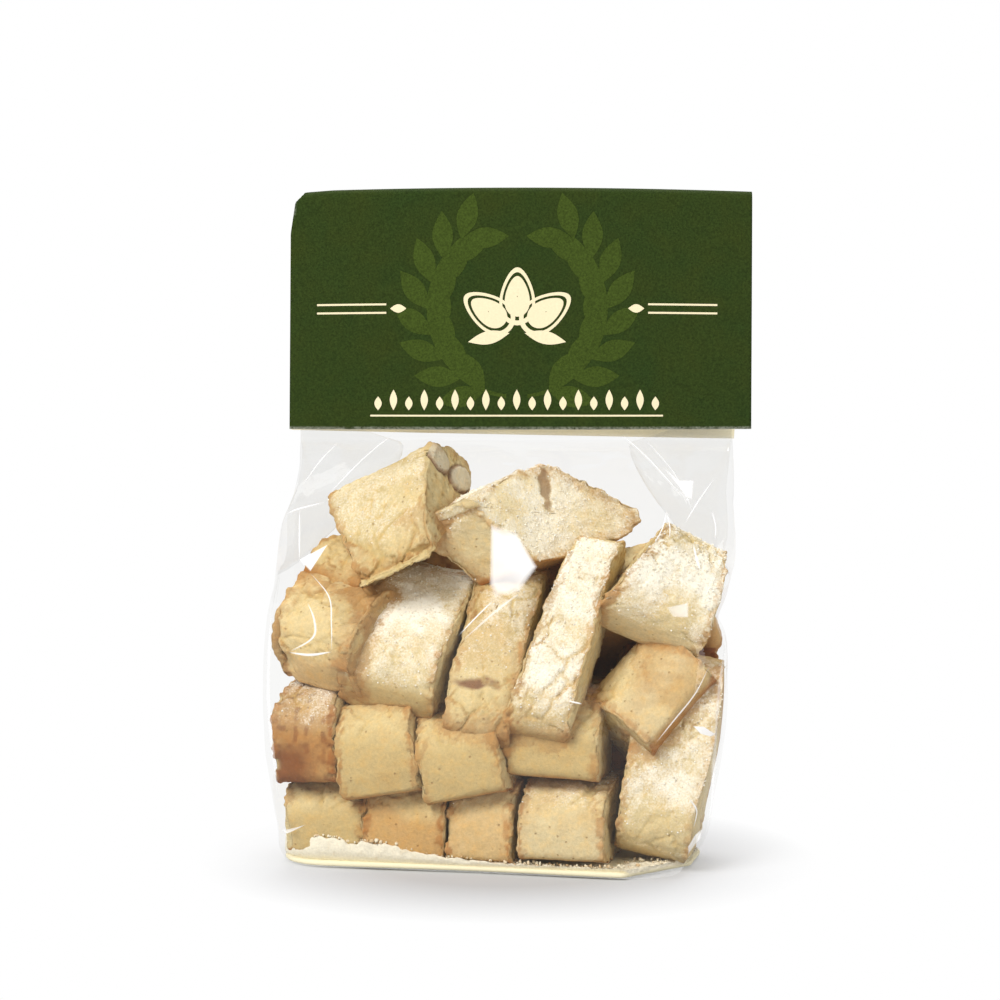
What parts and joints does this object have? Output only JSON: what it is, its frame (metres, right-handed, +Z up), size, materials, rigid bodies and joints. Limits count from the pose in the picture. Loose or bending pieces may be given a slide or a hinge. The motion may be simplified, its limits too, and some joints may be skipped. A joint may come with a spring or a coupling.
{
  "type": "bag of almond biscuits",
  "caption": "Clear side-gusset bag filled with twice-baked almond biscuit slices, standing on a flat base and closed by a folded green header card.",
  "frame": {"origin": "on the surface the bag stands on, at the middle of the whole object's box", "axes": "+Z up, +X to the right across the front, the front faces -Y"},
  "size_m": [0.1268, 0.0688, 0.1765],
  "materials": {
    "film": "clear glossy cellophane",
    "biscuit": "pale baked crumb, browned at the edges",
    "almond": "brown almond skin and cream almond flesh",
    "sugar": "fine white sugar dust and grains",
    "crumb": "loose pale crumbs",
    "base_card": "matte cream board",
    "card_green": "dark green printed matte card",
    "print_olive": "olive print on card",
    "print_cream": "cream print on card"
  },
  "bodies": {
    "root": {"bag": "film", "header_card": "card_green"}
  },
  "joints": []
}
